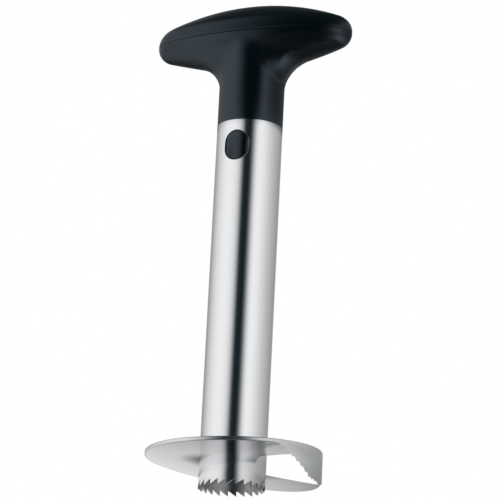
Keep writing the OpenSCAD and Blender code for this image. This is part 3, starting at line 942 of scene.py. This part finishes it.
# %% Put up the screens
under_blade = [(-180, 0.78), (-160, 0.85), (-136, 0.83), (-115, 0.87), (-95, 0.91), (-80, 0.98),
               (-55, 1.02), (-42, 1.0), (-33, 0.87), (-26, 0.62), (-20, 0.26), (-14, 0.02), (3, 0.0),
               (9, 0.07), (15, 0.34), (22, 0.72), (30, 0.86), (40, 0.83), (50, 0.72), (64, 0.52),
               (80, 0.38), (100, 0.3), (122, 0.36), (146, 0.62), (163, 0.71), (180, 0.78)]
round_base = [(-180, 0.8), (-172, 0.6), (-163, 0.38), (-153, 0.34), (-140, 0.42), (-120, 0.62),
              (-100, 0.78), (-85, 0.87), (-65, 0.9), (-50, 0.9), (-40, 0.84), (-33, 0.72), (-27, 0.53),
              (-20, 0.22), (-14, 0.02), (3, 0.0), (9, 0.07), (16, 0.34), (24, 0.68), (32, 0.8),
              (45, 0.75), (60, 0.64), (75, 0.53), (90, 0.45), (115, 0.38), (140, 0.32), (155, 0.36),
              (163, 0.6), (172, 0.8), (180, 0.8)]
round_handle = [(-180, 0.05), (-160, 0.1), (-145, 0.24), (-135, 0.33), (-115, 0.49), (-95, 0.65),
                (-85, 0.78), (-75, 0.87), (-62, 0.82), (-52, 0.78), (-44, 0.53), (-35, 0.28),
                (-27, 0.06), (-20, 0.01), (15, 0.0), (24, 0.1), (34, 0.58), (44, 0.8), (54, 0.55),
                (66, 0.36), (78, 0.22), (95, 0.18), (140, 0.15), (180, 0.05)]
tip_z, slant = 220 * MM, 0.243
cone_foot, cone_top = ((slant * (tip_z - z), z) for z in (-25 * MM, 14 * MM))
cone = screen("cone", *cone_foot, *cone_top, under_blade, 0.3)
skirt = screen("skirt", 170 * MM, 29 * MM, 85 * MM, 31 * MM, round_base, 1)
collar = screen("collar", 100 * MM, 208.5 * MM, 100 * MM, 258 * MM, round_handle, 1)

# %% [markdown]
# ## The floor
# The floor is pale and one-sided, because the camera looks up from below it. It could be a plane with
# an edge, but then a horizon would show. This one fades out with distance, as a paper sweep does.

# %% Lay the floor
pale_grey, fade_from, fade_to = (0.85, 0.85, 0.85, 1), 0.3, 1.8

floor_mesh = bmesh.new()
bmesh.ops.create_circle(floor_mesh, cap_ends=True, segments=96, radius=8)
floor = as_object(floor_mesh, "floor")
floor_paint, tree = bare_paint("floor_paint")
pale = add(tree, "BsdfDiffuse", {"Color": pale_grey})
gone = add(tree, "BsdfTransparent")
sweep = add(tree, "MixShader")
place = add(tree, "TexCoord").outputs["Object"]
away = add(tree, "VectorMath", operation="LENGTH")
fade = add(tree, "MapRange", {"From Min": fade_from, "From Max": fade_to}, interpolation_type="SMOOTHSTEP")
tree.links.new(place, away.inputs[0])
tree.links.new(away.outputs["Value"], fade.inputs["Value"])
tree.links.new(fade.outputs["Result"], sweep.inputs["Fac"])
tree.links.new(pale.outputs["BSDF"], sweep.inputs[1])
tree.links.new(gone.outputs["BSDF"], sweep.inputs[2])
one_sided(tree, sweep.outputs["Shader"])
floor.data.materials.append(floor_paint)
floor.visible_glossy = False
print("floor fades out from", fade_from, "to", fade_to, "m")

# %% [markdown]
# ## The background and the lamp
# The world is white to the camera and to reflections, and a little dimmer as a lamp, so that the floor
# stays just under white. One soft lamp gives the object its shadow. It is left out of reflections,
# which the paper walls make alone.

# %% Light the scene
white_level, dim_level = 1, 0.84

world = bpy.data.worlds.new("studio")
scene.world = world
world.use_nodes = True
tree = world.node_tree
tree.nodes.clear()
rays = add(tree, "LightPath")
seen = add(tree, "Math", operation="MAXIMUM")
shown = add(tree, "Math", operation="MAXIMUM")
white = add(tree, "Background", {"Color": (1, 1, 1, 1), "Strength": white_level})
dim = add(tree, "Background", {"Color": (1, 1, 1, 1), "Strength": dim_level})
pick = add(tree, "MixShader")
out = add(tree, "OutputWorld")
tree.links.new(rays.outputs["Is Camera Ray"], seen.inputs[0])
tree.links.new(rays.outputs["Is Glossy Ray"], seen.inputs[1])
tree.links.new(seen.outputs["Value"], shown.inputs[0])
tree.links.new(rays.outputs["Is Transmission Ray"], shown.inputs[1])
tree.links.new(shown.outputs["Value"], pick.inputs["Fac"])
tree.links.new(dim.outputs["Background"], pick.inputs[1])
tree.links.new(white.outputs["Background"], pick.inputs[2])
tree.links.new(pick.outputs["Shader"], out.inputs["Surface"])

lamp_data = bpy.data.lights.new("key", "AREA")
lamp_data.shape, lamp_data.size, lamp_data.energy = "DISK", 0.9, 14
lamp = bpy.data.objects.new("key", lamp_data)
lamp.location = (-0.9, -0.8, 1.3)
lamp_aim = Vector((0, 0, 0.1)) - lamp.location
lamp.rotation_euler = lamp_aim.to_track_quat("-Z", "Y").to_euler()
lamp.visible_glossy = False
scene.collection.objects.link(lamp)
print("lamp stands", round(lamp_aim.length, 2), "m away")
